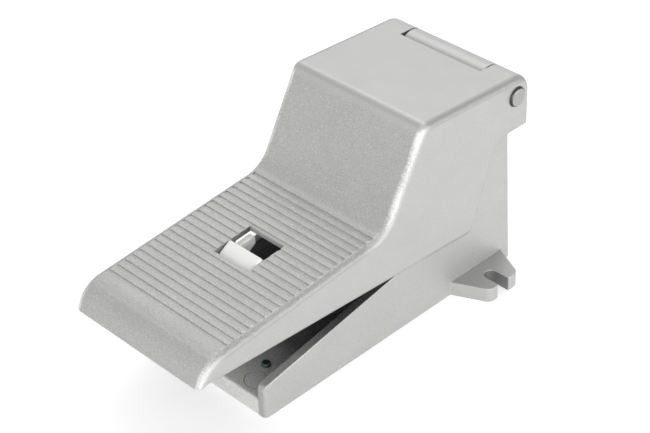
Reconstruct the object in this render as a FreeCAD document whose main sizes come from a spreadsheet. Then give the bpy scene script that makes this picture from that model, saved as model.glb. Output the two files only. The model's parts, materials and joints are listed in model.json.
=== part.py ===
"""Foot pedal air valve, 5/2, with a lock latch in the tread.

A die-cast base carries an upright spool valve at the rear and a low open tray in front.
A cast pedal, an inverted trough with a serrated tread, swings on a pin above the valve
and presses the spool down. A latch in the tread hooks under a catch in the tray.

Frame: millimetres, +Z up, Y along the valve with the toe towards -Y and the ports facing
+Y, X across, symmetric about X = 0. The origin lies on the underside, midway between the
fixing slots. Sketches count Y from the rear face, which lies lug_middle behind the origin.
"""
import FreeCAD, Part
import math
import os
import Sketcher

# Driving dimensions, in millimetres and degrees
SIZES = {
    # base casting
    "base_width": 66.9,
    "base_length": 147.1,
    "floor_thickness": 7.5,
    "tray_wall": 4.0,
    "wall_front_height": 15.4,
    "wall_pitch": 9.93,
    "block_length": 52.0,
    "block_height": 80.0,
    "casting_draft": 1.26,
    "base_corner_round": 2.0,
    "wall_end_round": 3.0,
    "floor_edge_round": 1.6,
    "underside_rim": 6.0,
    "underside_relief": 0.8,
    # fixing lugs
    "lug_thickness": 6.7,
    "lug_reach": 16.1,
    "lug_middle": 23.1,
    "lug_root_front": 15.8,
    "lug_root_rear": 16.2,
    "lug_tip_front": 8.2,
    "lug_tip_rear": 9.1,
    "slot_width": 6.5,
    "slot_depth": 10.1,
    "lug_tip_round": 4.0,
    # hinge
    "pin_setback": 3.45,
    "pin_rise": 4.6,
    "pin_radius": 4.5,
    "pin_stand_out": 1.2,
    "pin_edge_round": 1.1,
    "hinge_radius": 8.7,
    "knuckle_width": 43.6,
    "knuckle_gap": 0.7,
    "hinge_clearance": 0.5,
    "running_clearance": 0.05,
    "seat_clearance": 0.01,
    "washer_radius": 7.0,
    "washer_thickness": 0.6,
    "grub_radius": 2.0,
    "grub_length": 3.4,
    # pedal casting
    "skirt_clearance": 0.45,
    "pedal_wall": 3.1,
    "plate_thickness": 3.2,
    "tread_thickness": 2.5,
    "top_pitch": 3.32,
    "riser_pitch": 61.2,
    "tread_pitch": 4.81,
    "heel_reach": 81.1,
    "heel_height": 56.1,
    "toe_reach": 181.5,
    "toe_depth": 10.2,
    "toe_lean": 4.3,
    "skirt_height": 28.7,
    "skirt_rear": 29.0,
    "skirt_rear_top": 13.8,
    "ear_drop": 17.5,
    "ear_round": 5.0,
    "edge_round": 3.0,
    "nose_round": 14.0,
    "heel_round": 14.0,
    "crest_round": 4.5,
    "cutout_front": 9.8,
    "rib_spacing": 48.0,
    "rib_thickness": 2.5,
    "rib_depth": 4.0,
    "pedal_travel": 9.0,
    # tread serrations
    "serration_spacing": 3.94,
    "serration_depth": 0.5,
    "serration_ramp": 1.9,
    "serration_lean": 0.1,
    "serration_first": 85.9,
    "serration_count": 21.0,
    "serration_half_length": 34.2,
    # window of the lock latch
    "window_width": 20.0,
    "window_front": 131.1,
    "window_rear": 111.1,
    # lock latch, measured from its pivot
    "latch_reach": 121.5,
    "latch_height": 44.5,
    "latch_width": 19.2,
    "latch_core_width": 10.0,
    "latch_cheek": 2.7,
    "latch_cheek_rise": 2.2,
    "latch_pin_radius": 1.5,
    "latch_hub_radius": 3.4,
    "latch_pad_rise": 9.15,
    "latch_pad_rear": 1.6,
    "latch_pad_length": 9.5,
    "latch_pad_pitch": 31.0,
    "latch_pad_thickness": 3.0,
    "latch_pad_round": 1.2,
    "latch_travel": 12.0,
    "hook_drop": 14.0,
    "hook_depth": 3.2,
    "hook_tip": 2.0,
    "hook_leg": 3.9,
    "latch_lug_inner": 13.2,
    "latch_lug_thickness": 3.0,
    "latch_lug_radius": 3.6,
    "latch_wire": 0.8,
    "latch_rear_leg": 9.0,
    "latch_front_leg": 6.0,
    # catch bracket in the tray
    "catch_plate": 2.0,
    "catch_width": 14.0,
    "catch_foot": 15.0,
    "catch_gap": 0.2,
    "catch_overlap": 3.3,
    "catch_standoff": 0.6,
    "catch_screw_spacing": 12.0,
    "screw_radius": 2.0,
    "screw_head_radius": 3.8,
    "screw_head_height": 2.2,
    "screw_length": 6.0,
    # driven plugs in the tray floor
    "plug_spacing": 32.0,
    "plug_setback": 17.0,
    "plug_radius": 2.0,
    "plug_stand_out": 1.3,
    "plug_depth": 4.0,
    "plug_socket": 1.15,
    "ejector_spacing": 39.8,
    "ejector_setback": 8.1,
    "ejector_radius": 5.0,
    "ejector_line": 0.35,
    # spool valve
    "spool_setback": 28.0,
    "bore_radius": 8.0,
    "land_radius": 7.9,
    "waist_radius": 5.0,
    "stem_radius": 3.0,
    "seal_wire": 0.9,
    "port_lowest": 23.0,
    "port_head": 9.0,
    "port_offset": 14.5,
    "port_radius": 5.72,
    "port_depth": 13.0,
    "spotface_radius": 9.0,
    "spotface_depth": 2.2,
    "chamber_radius": 10.5,
    "chamber_height": 4.6,
    "gallery_width": 6.0,
    "gland_depth": 6.0,
    "seal_lead": 1.1,
    "seal_lap": 4.1,
    "end_seal_lap": 3.3,
    "top_seal_drop": 2.6,
    "spool_tail": 3.0,
    "gland_radius": 11.0,
    "gland_slot": 2.0,
    "button_radius": 6.5,
    "button_height": 6.4,
    "button_socket": 4.0,
    "button_dome": 1.6,
    "button_gap": 0.1,
    "pad_radius": 6.0,
    "pad_stand_out": 0.8,
    "pad_seat": 1.6,
    "plug_seat": 6.0,
    "cap_radius": 11.0,
    "cap_recess": 0.8,
    "spring_radius": 3.0,
    "spring_wire": 1.0,
    "spring_turns": 6.5,
    "spring_pocket": 7.0,
}

doc = FreeCAD.newDocument("FootPedalValve")
sheet = doc.addObject("Spreadsheet::Sheet", "Sizes")


class Dim:
    """A number together with the sheet expression that gives it."""

    def __init__(self, value, text):
        self.value = value
        self.text = text

    def __add__(self, other):
        other = dim(other)
        return Dim(self.value + other.value, f"({self.text} + {other.text})")

    def __radd__(self, other):
        return dim(other) + self

    def __sub__(self, other):
        other = dim(other)
        return Dim(self.value - other.value, f"({self.text} - {other.text})")

    def __rsub__(self, other):
        return dim(other) - self

    def __mul__(self, other):
        other = dim(other)
        return Dim(self.value * other.value, f"({self.text} * {other.text})")

    def __rmul__(self, other):
        return dim(other) * self

    def __truediv__(self, other):
        other = dim(other)
        return Dim(self.value / other.value, f"({self.text} / {other.text})")

    def __neg__(self):
        return dim(0) - self


def dim(number):
    """A plain number as a Dim; a Dim stays itself."""
    if isinstance(number, Dim):
        return number
    return Dim(float(number), f"({float(number):.6f})")


def sine(angle):
    angle = dim(angle)
    return Dim(math.sin(math.radians(angle.value)), f"sin({angle.text})")


def cosine(angle):
    angle = dim(angle)
    return Dim(math.cos(math.radians(angle.value)), f"cos({angle.text})")


def tangent(angle):
    angle = dim(angle)
    return Dim(math.tan(math.radians(angle.value)), f"tan({angle.text})")


def turn(point, centre, angle):
    """A point of the YZ plane turned about a centre, positive from Y to Z."""
    y = point[0] - centre[0]
    z = point[1] - centre[1]
    return (centre[0] + y * cosine(angle) - z * sine(angle),
            centre[1] + y * sine(angle) + z * cosine(angle))


def fill_sheet():
    """Write the driving dimensions to the sheet and return them as Dims."""
    sizes = {}
    for row, (alias, value) in enumerate(SIZES.items(), start=1):
        sheet.set(f"A{row}", alias)
        sheet.set(f"B{row}", str(value))
        sheet.setAlias(f"B{row}", alias)
        sizes[alias] = Dim(value, f"Sizes.{alias}")
    doc.recompute()
    return sizes


class Named:
    """The driving dimensions as attributes."""

    def __init__(self, sizes):
        self.__dict__.update(sizes)


S = Named(fill_sheet())


# Sketches

PLANES = {"YZ": "YZ_Plane", "XZ": "XZ_Plane", "XY": "XY_Plane"}


def bind(target, path, value):
    """Bind a property to the sheet when its value comes from there."""
    if "Sizes." in value.text:
        target.setExpression(path, value.text)


def new_body(label):
    body = doc.addObject("PartDesign::Body", label)
    body.Label = label
    return body


def new_sketch(body, plane, shift=(0, 0, 0), tilt=None):
    """A sketch on an origin plane of its body, shifted and tilted within that plane."""
    sketch = body.newObject("Sketcher::SketchObject", f"{body.Name}_sketch")
    base = [f for f in body.Origin.OriginFeatures if f.Role == PLANES[plane]][0]
    sketch.AttachmentSupport = [(base, "")]
    sketch.MapMode = "FlatFace"
    shift = [dim(value) for value in shift]
    angle = dim(0) if tilt is None else tilt
    sketch.AttachmentOffset = FreeCAD.Placement(
        FreeCAD.Vector(*[value.value for value in shift]),
        FreeCAD.Rotation(FreeCAD.Vector(0, 0, 1), angle.value))
    for axis, value in zip("xyz", shift):
        bind(sketch, f"AttachmentOffset.Base.{axis}", value)
    if tilt is not None:
        bind(sketch, "AttachmentOffset.Rotation.Angle", tilt)
    return sketch


def constrain(sketch, value, *constraint):
    """Add a constraint with a value and bind it to the sheet."""
    index = sketch.addConstraint(Sketcher.Constraint(*constraint, value.value))
    name = f"size_{index}"
    sketch.renameConstraint(index, name)
    bind(sketch, f"Constraints.{name}", value)


def place_point(sketch, geometry, end, u, v):
    constrain(sketch, u, "DistanceX", geometry, end)
    constrain(sketch, v, "DistanceY", geometry, end)


def circle(sketch, u, v, radius):
    u, v, radius = dim(u), dim(v), dim(radius)
    ring = Part.Circle(FreeCAD.Vector(u.value, v.value, 0), FreeCAD.Vector(0, 0, 1), radius.value)
    index = sketch.addGeometry(ring, False)
    place_point(sketch, index, 3, u, v)
    constrain(sketch, radius, "Radius", index)


def outline(sketch, corners):
    """A closed outline from (u, v) or (u, v, radius) corners."""
    count = len(corners)
    spots = [FreeCAD.Vector(dim(c[0]).value, dim(c[1]).value, 0) for c in corners]
    rounds = [dim(c[2]) if len(c) > 2 else None for c in corners]
    starts, ends, arcs = [], [], []
    for i, spot in enumerate(spots):
        back = (spots[i - 1] - spot).normalize()
        ahead = (spots[(i + 1) % count] - spot).normalize()
        if rounds[i] is None:
            starts.append(spot)
            ends.append(spot)
            arcs.append(None)
            continue
        radius = rounds[i].value
        half = back.getAngle(ahead) / 2
        reach = radius / math.tan(half)
        centre = spot + (back + ahead).normalize() * (radius / math.sin(half))
        starts.append(spot + back * reach)
        ends.append(spot + ahead * reach)
        left_turn = (-back).cross(ahead).z > 0
        first, last = (starts[i], ends[i]) if left_turn else (ends[i], starts[i])
        angles = [math.atan2(p.y - centre.y, p.x - centre.x) for p in (first, last)]
        ring = Part.Circle(centre, FreeCAD.Vector(0, 0, 1), radius)
        arcs.append((Part.ArcOfCircle(ring, angles[0], angles[1]), left_turn))
    lines = [sketch.addGeometry(Part.LineSegment(ends[i], starts[(i + 1) % count]), False)
             for i in range(count)]
    for i in range(count):
        incoming, leaving = lines[i - 1], lines[i]
        u, v = dim(corners[i][0]), dim(corners[i][1])
        if arcs[i] is None:
            sketch.addConstraint(Sketcher.Constraint("Coincident", incoming, 2, leaving, 1))
            place_point(sketch, leaving, 1, u, v)
            continue
        arc, left_turn = arcs[i]
        index = sketch.addGeometry(arc, False)
        enter, leave = (1, 2) if left_turn else (2, 1)
        sketch.addConstraint(Sketcher.Constraint("Tangent", incoming, 2, index, enter))
        sketch.addConstraint(Sketcher.Constraint("Tangent", index, leave, leaving, 1))
        constrain(sketch, rounds[i], "Radius", index)
        corner = sketch.addGeometry(Part.Point(spots[i]), True)
        sketch.addConstraint(Sketcher.Constraint("PointOnObject", corner, 1, incoming))
        sketch.addConstraint(Sketcher.Constraint("PointOnObject", corner, 1, leaving))
        place_point(sketch, corner, 1, u, v)


def rectangle(sketch, u0, u1, v0, v1):
    outline(sketch, [(u0, v0), (u1, v0), (u1, v1), (u0, v1)])


# Features

def settle(body, feature, before):
    """Recompute, make the feature the tip and check that it changed the solid."""
    body.Tip = feature
    doc.recompute()
    bad = [word for word in feature.State if word in ("Invalid", "Error")]
    if bad or feature.Shape.isNull() or abs(feature.Shape.Volume - before) < 1e-6:
        raise RuntimeError(f"{body.Label}: {feature.Name} failed or changed nothing")
    return feature


def volume_of(body):
    return 0.0 if body.Shape.isNull() else body.Shape.Volume


def extrude(body, kind, sketch, length, symmetric=False, flip=False, taper=None):
    """A Pad or Pocket of a sketch."""
    doc.recompute()
    before = volume_of(body)
    length = dim(length)
    feature = body.newObject(f"PartDesign::{kind}", f"{body.Name}_{kind.lower()}")
    feature.Profile = (sketch, [""])
    feature.Length = length.value
    bind(feature, "Length", length)
    feature.SideType = "Symmetric" if symmetric else "One side"
    feature.Reversed = flip
    if taper is not None:
        feature.TaperAngle = taper.value
        bind(feature, "TaperAngle", taper)
    return settle(body, feature, before)


def spin(body, kind, sketch, axis):
    """A Revolution or Groove of a sketch about one of its own axes."""
    doc.recompute()
    before = volume_of(body)
    feature = body.newObject(f"PartDesign::{kind}", f"{body.Name}_{kind.lower()}")
    feature.Profile = (sketch, [""])
    feature.ReferenceAxis = (sketch, [axis])
    feature.Angle = 360
    return settle(body, feature, before)


def edges_where(shape, test):
    return [f"Edge{i}" for i, edge in enumerate(shape.Edges, start=1) if test(edge)]


def dress(body, kind, size, test):
    """A Fillet or Chamfer on the edges that pass a test."""
    doc.recompute()
    base = body.Tip
    names = edges_where(base.Shape, test)
    if not names:
        raise RuntimeError(f"{body.Label}: no edge to {kind.lower()}")
    before = volume_of(body)
    feature = body.newObject(f"PartDesign::{kind}", f"{body.Name}_{kind.lower()}")
    feature.Base = (base, names)
    field = "Radius" if kind == "Fillet" else "Size"
    size = dim(size)
    setattr(feature, field, size.value)
    bind(feature, field, size)
    return settle(body, feature, before)


def repeat(body, originals, direction, spacing, count, backwards=False):
    """A linear pattern of features along an axis."""
    before = volume_of(body)
    feature = body.newObject("PartDesign::LinearPattern", f"{body.Name}_pattern")
    feature.Originals = originals
    feature.Direction = direction
    feature.Reversed = backwards
    feature.Mode = "Spacing"
    feature.Offset = spacing.value
    bind(feature, "Offset", spacing)
    feature.Occurrences = int(round(count.value))
    bind(feature, "Occurrences", count)
    return settle(body, feature, before)


def mirror(body, originals):
    """The features again on the other side of X = 0."""
    before = volume_of(body)
    feature = body.newObject("PartDesign::Mirrored", f"{body.Name}_mirrored")
    feature.Originals = originals
    plane = [f for f in body.Origin.OriginFeatures if f.Role == "YZ_Plane"][0]
    feature.MirrorPlane = (plane, [""])
    return settle(body, feature, before)


def axis_of(body, role):
    return ([f for f in body.Origin.OriginFeatures if f.Role == role][0], [""])


NODES = []


def keep(thing, node, y=0, x=0, z=0):
    """Name the finished piece and set it in the frame, whose origin is midway between the slots."""
    thing.Label = node
    place = [dim(x), dim(y) + S.lug_middle, dim(z)]
    thing.Placement = FreeCAD.Placement(FreeCAD.Vector(*[value.value for value in place]),
                                        FreeCAD.Rotation())
    for axis, value in zip("xyz", place):
        bind(thing, f"Placement.Base.{axis}", value)
    doc.recompute()
    NODES.append(thing)
    return thing


def pair(thing, node):
    """A piece and its mirror image across X = 0 as one node."""
    other = doc.addObject("Part::Mirroring", f"{thing.Name}_left")
    other.Source = thing
    other.Normal = FreeCAD.Vector(1, 0, 0)
    both = doc.addObject("Part::Compound", f"{thing.Name}_pair")
    both.Links = [thing, other]
    doc.recompute()
    return keep(both, node)


def turned_upright(label, x, y, corners):
    """A turned piece about a vertical axis at (x, y), from (radius, height) corners."""
    body = new_body(label)
    sketch = new_sketch(body, "YZ", (y, 0, x))
    outline(sketch, corners)
    spin(body, "Revolution", sketch, "V_Axis")
    return body


def turned_crosswise(label, y, z, corners):
    """A turned piece about an axis along X at (y, z), from (x, radius) corners."""
    body = new_body(label)
    sketch = new_sketch(body, "XZ", (0, z, -y))
    outline(sketch, corners)
    spin(body, "Revolution", sketch, "H_Axis")
    return body


# Places that several pieces share

half_base = S.base_width / 2
inner_pedal = half_base + S.skirt_clearance
half_pedal = inner_pedal + S.pedal_wall
half_knuckle = S.knuckle_width / 2
ear_inner = half_knuckle + S.knuckle_gap
pin_y = -S.pin_setback
pin_z = S.block_height + S.pin_rise
ear_bottom = pin_z - S.ear_drop
gland_seat = S.block_height - S.gland_depth
spool_y = -S.spool_setback
rear_of_hinge = pin_y + S.hinge_radius
hinge_top = pin_z + S.hinge_radius / cosine(S.top_pitch)
wall_top_at_block = S.wall_front_height + (S.base_length - S.block_length) * tangent(S.wall_pitch)


def top_of_plate(y):
    """Height of the pedal's top plate at y."""
    return hinge_top - (y - pin_y) * tangent(S.top_pitch)


def top_of_tread(y):
    return S.heel_height + (y + S.heel_reach) * tangent(S.tread_pitch)


def under_tread(y):
    return top_of_tread(y) - S.tread_thickness / cosine(S.tread_pitch)


def under_plate(y):
    return top_of_plate(y) - S.plate_thickness / cosine(S.top_pitch)


def crossing(point, slope, other, other_slope):
    """Where two sloping lines of the YZ plane meet."""
    y = (other[1] - point[1] + point[0] * slope - other[0] * other_slope) / (slope - other_slope)
    return (y, point[1] + (y - point[0]) * slope)


heel = (-S.heel_reach, S.heel_height)
nose = (-S.toe_reach + S.toe_lean, top_of_tread(-S.toe_reach + S.toe_lean))
toe_edge = (-S.toe_reach, nose[1] - S.toe_depth)
crest = crossing(heel, tangent(S.riser_pitch), (pin_y, hinge_top), -tangent(S.top_pitch))
inner_heel_point = (heel[0] + S.plate_thickness / sine(S.riser_pitch), heel[1])
inner_heel = crossing(inner_heel_point, tangent(S.riser_pitch),
                      (heel[0], under_tread(heel[0])), tangent(S.tread_pitch))
inner_crest = crossing(inner_heel_point, tangent(S.riser_pitch),
                       (pin_y, under_plate(pin_y)), -tangent(S.top_pitch))

latch_y = -S.latch_reach
latch_z = S.latch_height


def latch_point(y, z):
    """A point of the latch from its place beside the pivot, at rest."""
    return (latch_y + y, latch_z + z)


def hook_point(y, z):
    """A point of the hook at rest, from its place beside the pivot when it is locked."""
    return turn(latch_point(y, z), (latch_y, latch_z), -(S.pedal_travel + S.latch_travel))


locked_pivot = turn((latch_y, latch_z), (pin_y, pin_z), S.pedal_travel)


# Base casting: tray, valve block, hinge knuckle and fixing lugs

def lug_outline(sketch, side):
    """One fixing lug with its slot open at the tip; side is 1 or -1."""
    root = half_base - S.tray_wall / 2
    tip = half_base + S.lug_reach
    slot_end = tip - S.slot_depth
    half_slot = S.slot_width / 2
    middle = -S.lug_middle
    outline(sketch, [
        (side * root, middle - S.lug_root_front),
        (side * half_base, middle - S.lug_root_front),
        (side * tip, middle - S.lug_tip_front, S.lug_tip_round),
        (side * tip, middle - half_slot, S.lug_tip_round / 4),
        (side * slot_end, middle - half_slot, half_slot * 0.995),
        (side * slot_end, middle + half_slot, half_slot * 0.995),
        (side * tip, middle + half_slot, S.lug_tip_round / 4),
        (side * tip, middle + S.lug_tip_rear, S.lug_tip_round),
        (side * half_base, middle + S.lug_root_rear),
        (side * root, middle + S.lug_root_rear),
    ])


def make_base():
    body = new_body("base")
    length, front_face = -S.base_length, -S.block_length

    plan = new_sketch(body, "XY")
    rectangle(plan, -half_base, half_base, length, dim(0))
    extrude(body, "Pad", plan, S.block_height, taper=-S.casting_draft)
    dress(body, "Fillet", S.base_corner_round, is_upright_corner)

    over_walls = new_sketch(body, "YZ")
    lean = tangent(S.casting_draft)
    low = S.floor_thickness / 2
    outline(over_walls, [
        (front_face, S.block_height + 1),
        (front_face, wall_top_at_block),
        (length + S.wall_front_height * lean, S.wall_front_height, S.wall_end_round),
        (length + low * lean, low),
        (length - 1, low),
        (length - 1, S.block_height + 1),
    ])
    extrude(body, "Pocket", over_walls, S.base_width + 2, symmetric=True)

    tray = new_sketch(body, "YZ")
    under_lip = S.floor_thickness - 2 * S.floor_edge_round
    outline(tray, [
        (length - 1, under_lip),
        (length + under_lip * lean, under_lip),
        (length + S.floor_thickness * lean, S.floor_thickness, S.floor_edge_round),
        (front_face, S.floor_thickness, 2.5),
        (front_face, S.block_height),
        (length - 1, S.block_height),
    ])
    extrude(body, "Pocket", tray, S.base_width - 2 * S.tray_wall, symmetric=True)

    knuckle = new_sketch(body, "YZ")
    diagonal = S.hinge_radius * sine(45)
    outline(knuckle, [
        (pin_y - S.hinge_radius, pin_z),
        (pin_y - S.hinge_radius, gland_seat),
        (pin_y + diagonal - (pin_z - diagonal - gland_seat), gland_seat),
        (pin_y + diagonal, pin_z - diagonal),
        (pin_y, pin_z),
    ])
    extrude(body, "Pad", knuckle, S.knuckle_width, symmetric=True)
    barrel = new_sketch(body, "YZ")
    circle(barrel, pin_y, pin_z, S.hinge_radius)
    extrude(body, "Pad", barrel, S.knuckle_width, symmetric=True)

    # room for the pedal's ears beside the knuckle
    ear_room = new_sketch(body, "YZ", (0, 0, half_knuckle))
    circle(ear_room, pin_y, pin_z, S.hinge_radius + S.hinge_clearance)
    room = extrude(body, "Pocket", ear_room, half_base, flip=True)
    mirror(body, [room])

    for side_sign in (1, -1):
        lug = new_sketch(body, "XY")
        lug_outline(lug, side_sign)
        extrude(body, "Pad", lug, S.lug_thickness)

    pin_hole = new_sketch(body, "YZ")
    circle(pin_hole, pin_y, pin_z, S.pin_radius + S.seat_clearance)
    extrude(body, "Pocket", pin_hole, S.base_width, symmetric=True)

    grub_hole = new_sketch(body, "XZ")
    circle(grub_hole, dim(0), pin_z, S.grub_radius + S.seat_clearance)
    extrude(body, "Pocket", grub_hole, rear_of_hinge + 1)

    bore_spool(body)
    bore_ports(body)

    relief = new_sketch(body, "XY")
    rim = S.underside_rim
    rectangle(relief, -half_base + rim, half_base - rim, length + rim, -rim)
    extrude(body, "Pocket", relief, S.underside_relief, flip=True)

    for x in (-S.catch_screw_spacing / 2, S.catch_screw_spacing / 2):
        tap = new_sketch(body, "XY", (0, 0, S.floor_thickness))
        circle(tap, x, catch_screw_y(), S.screw_radius + S.seat_clearance)
        extrude(body, "Pocket", tap, S.screw_length - S.catch_plate)
    for x in (-S.ejector_spacing / 2, S.ejector_spacing / 2):
        mark = new_sketch(body, "XY", (0, 0, S.floor_thickness))
        circle(mark, x, -S.base_length + S.ejector_setback, S.ejector_radius)
        circle(mark, x, -S.base_length + S.ejector_setback, S.ejector_radius - S.ejector_line)
        extrude(body, "Pocket", mark, S.ejector_line)
    for x in (-S.plug_spacing / 2, S.plug_spacing / 2):
        hole = new_sketch(body, "XY", (0, 0, S.floor_thickness))
        circle(hole, x, -S.base_length + S.plug_setback, S.plug_radius + S.seat_clearance)
        extrude(body, "Pocket", hole, S.plug_depth)
    return keep(body, "base")


def is_upright_corner(edge):
    """The four outer corners of the casting, which lean a little with the draft."""
    box = edge.BoundBox
    tall = box.ZLength > S.floor_thickness.value
    narrow = box.XLength < 4 and box.YLength < 4
    outer = abs(edge.CenterOfMass.x) > half_base.value - 3
    at_end = edge.CenterOfMass.y > -3 or edge.CenterOfMass.y < -S.base_length.value + 1
    return tall and narrow and outer and at_end


def catch_screw_y():
    return catch_front() + S.catch_plate + S.catch_foot * 0.6


def catch_front():
    """Front face of the catch's upright, just behind the locked hook."""
    return locked_pivot[0] + S.hook_tip + S.catch_standoff


PORT_NAMES = ("lower exhaust", "outlet", "supply", "outlet", "upper exhaust")


port_step = (gland_seat - S.port_head - S.port_lowest) / 4


def port_z(number):
    return S.port_lowest + number * port_step


def bore_spool(body):
    """The stepped upright bore with a ring chamber at each port."""
    sketch = new_sketch(body, "YZ", (spool_y, 0, 0))
    half = S.chamber_height / 2
    corners = [(dim(0), -1), (S.cap_radius, -1), (S.cap_radius, S.plug_seat),
               (S.bore_radius, S.plug_seat)]
    for number in range(len(PORT_NAMES)):
        low, high = port_z(number) - half, port_z(number) + half
        corners += [(S.bore_radius, low), (S.chamber_radius, low),
                    (S.chamber_radius, high), (S.bore_radius, high)]
    corners += [(S.bore_radius, gland_seat), (S.gland_radius, gland_seat),
                (S.gland_radius, S.block_height + 1), (dim(0), S.block_height + 1)]
    outline(sketch, corners)
    spin(body, "Groove", sketch, "V_Axis")


def bore_ports(body):
    """Five threaded ports in two columns, each with a spotface and a gallery to its chamber."""
    for side, number, count in ((1, 0, 3), (-1, 1, 2)):
        x, z = side * S.port_offset, port_z(number)
        face = new_sketch(body, "XZ")
        circle(face, x, z, S.spotface_radius)
        spot = extrude(body, "Pocket", face, S.spotface_depth, flip=True)
        mouth = new_sketch(body, "XZ")
        circle(mouth, x, z, S.port_radius)
        hole = extrude(body, "Pocket", mouth, S.spotface_depth + S.port_depth, flip=True)
        bottom = -(S.spotface_depth + S.port_depth)
        half = S.gallery_width / 2 * cosine(45)
        gallery = new_sketch(body, "XY", (0, 0, z - S.chamber_height / 2))
        outline(gallery, [
            (x - side * half, bottom + S.gallery_width / 2 + half),
            (x + side * half, bottom + S.gallery_width / 2 - half),
            (side * half, spool_y - half),
            (-side * half, spool_y + half),
        ])
        passage = extrude(body, "Pocket", gallery, S.chamber_height, flip=True)
        repeat(body, [spot, hole, passage], axis_of(body, "Z_Axis"), 2 * port_step, dim(count))


# Pedal casting: serrated tread, riser, top plate and hinge ears

def upper_side_edge(edge):
    """The long edges between the pedal's flanks and its outer skin."""
    box = edge.BoundBox
    on_flank = box.XLength < 1e-4 and abs(abs(box.XMin) - half_pedal.value) < 1e-4
    middle = edge.CenterOfMass
    above_tread = middle.z > (top_of_tread(dim(middle.y)) - 9.4).value
    behind_nose = middle.y > -S.toe_reach.value - 1
    ear = middle.y > pin_y.value - 1
    riser_or_top = middle.y > -S.heel_reach.value - 20 and middle.z > S.heel_height.value - 4
    tread_or_nose = middle.y < -S.heel_reach.value and middle.z > toe_edge[1].value + 1
    return on_flank and above_tread and behind_nose and (ear or riser_or_top or tread_or_nose)


def make_pedal():
    body = new_body("pedal")
    side = new_sketch(body, "YZ")
    outline(side, [
        (rear_of_hinge, top_of_plate(rear_of_hinge), S.hinge_radius),
        (crest[0], crest[1], S.crest_round),
        (heel[0], heel[1], S.heel_round),
        (nose[0], nose[1], S.nose_round),
        toe_edge,
        (-S.skirt_rear, S.skirt_height, 4.0),
        (-S.skirt_rear_top, ear_bottom, 9.0),
        (rear_of_hinge, ear_bottom),
    ])
    extrude(body, "Pad", side, (half_pedal * 2), symmetric=True)
    dress(body, "Fillet", S.edge_round, upper_side_edge)
    corner = new_sketch(body, "YZ")
    beyond, ahead, above = 1, rear_of_hinge - 1.2 * S.ear_round, ear_bottom + 1.2 * S.ear_round
    outline(corner, [
        (rear_of_hinge, above),
        (rear_of_hinge, ear_bottom, S.ear_round),
        (ahead, ear_bottom),
        (ahead, ear_bottom - beyond),
        (rear_of_hinge + beyond, ear_bottom - beyond),
        (rear_of_hinge + beyond, above),
    ])
    extrude(body, "Pocket", corner, (half_pedal * 2) + 2, symmetric=True)

    pin_hole = new_sketch(body, "YZ")
    circle(pin_hole, pin_y, pin_z, S.pin_radius + S.running_clearance)
    extrude(body, "Pocket", pin_hole, (half_pedal * 2) + 2, symmetric=True)

    hollow = new_sketch(body, "YZ")
    inner_toe = nose[0] + S.pedal_wall
    under_skirt = toe_edge[1] - S.toe_depth - S.tread_thickness
    inner_depth = under_tread(inner_toe) - under_skirt
    ear_front, ear_base = pin_y - S.hinge_radius, pin_z - S.hinge_radius
    outline(hollow, [
        (rear_of_hinge + S.pedal_wall, ear_base),
        (ear_front, ear_base, S.hinge_radius * 0.98),
        (ear_front, under_plate(ear_front), 1.5),
        (inner_crest[0], inner_crest[1], 2.0),
        (inner_heel[0], inner_heel[1], S.heel_round + S.tread_thickness),
        (inner_toe, under_tread(inner_toe), S.nose_round - S.pedal_wall),
        (inner_toe - inner_depth * S.toe_lean / S.toe_depth, under_tread(inner_toe) - inner_depth),
        (rear_of_hinge + S.pedal_wall, under_skirt),
    ])
    extrude(body, "Pocket", hollow, 2 * inner_pedal, symmetric=True)

    # cut-out round the knuckle of the base
    opening = new_sketch(body, "YZ")
    behind, over = rear_of_hinge + S.pedal_wall, hinge_top + S.pedal_wall
    rectangle(opening, -S.cutout_front, behind, ear_bottom, over)
    extrude(body, "Pocket", opening, 2 * ear_inner, symmetric=True)
    below = new_sketch(body, "YZ")
    rectangle(below, -S.cutout_front - S.pedal_wall, behind, ear_bottom, pin_z)
    extrude(body, "Pocket", below, 2 * ear_inner, symmetric=True)
    relief = new_sketch(body, "YZ")
    circle(relief, pin_y, pin_z, S.hinge_radius + S.hinge_clearance)
    extrude(body, "Pocket", relief, 2 * ear_inner, symmetric=True)

    window = new_sketch(body, "XY", (0, 0, toe_edge[1]))
    rectangle(window, -S.window_width / 2, S.window_width / 2, -S.window_front, -S.window_rear)
    extrude(body, "Pocket", window, S.heel_height - toe_edge[1], flip=True)

    hang_ribs(body)
    hang_latch_lugs(body)
    seat_thrust_pad(body)
    cut_serrations(body)
    return keep(body, "pedal")


def hang_ribs(body):
    """Two stiffening ribs under the tread."""
    rib = new_sketch(body, "YZ", (0, 0, S.rib_spacing / 2 - S.rib_thickness / 2))
    rear, front = inner_heel[0] - S.heel_round, -S.toe_reach + S.nose_round + S.pedal_wall
    outline(rib, [
        (rear, under_tread(rear) + 0.5),
        (rear - 6, under_tread(rear - 6) - S.rib_depth),
        (front + 6, under_tread(front + 6) - S.rib_depth),
        (front, under_tread(front) + 0.5),
    ])
    first = extrude(body, "Pad", rib, S.rib_thickness)
    mirror(body, [first])


def hang_latch_lugs(body):
    """Two lugs under the tread that carry the latch's pin."""
    lug = new_sketch(body, "YZ", (0, 0, S.latch_lug_inner))
    radius = S.latch_lug_radius
    top_front, top_rear = latch_y - radius - 2, latch_y + radius + 2
    outline(lug, [
        (top_front, under_tread(top_front) + 0.5),
        (latch_y - radius, latch_z - radius, radius * 0.98),
        (latch_y + radius, latch_z - radius, radius * 0.98),
        (top_rear, under_tread(top_rear) + 0.5),
    ])
    first = extrude(body, "Pad", lug, S.latch_lug_thickness)
    mirror(body, [first])
    hole = new_sketch(body, "YZ")
    circle(hole, latch_y, latch_z, S.latch_pin_radius + S.seat_clearance)
    extrude(body, "Pocket", hole, 2 * (S.latch_lug_inner + S.latch_lug_thickness + 1), symmetric=True)


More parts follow.
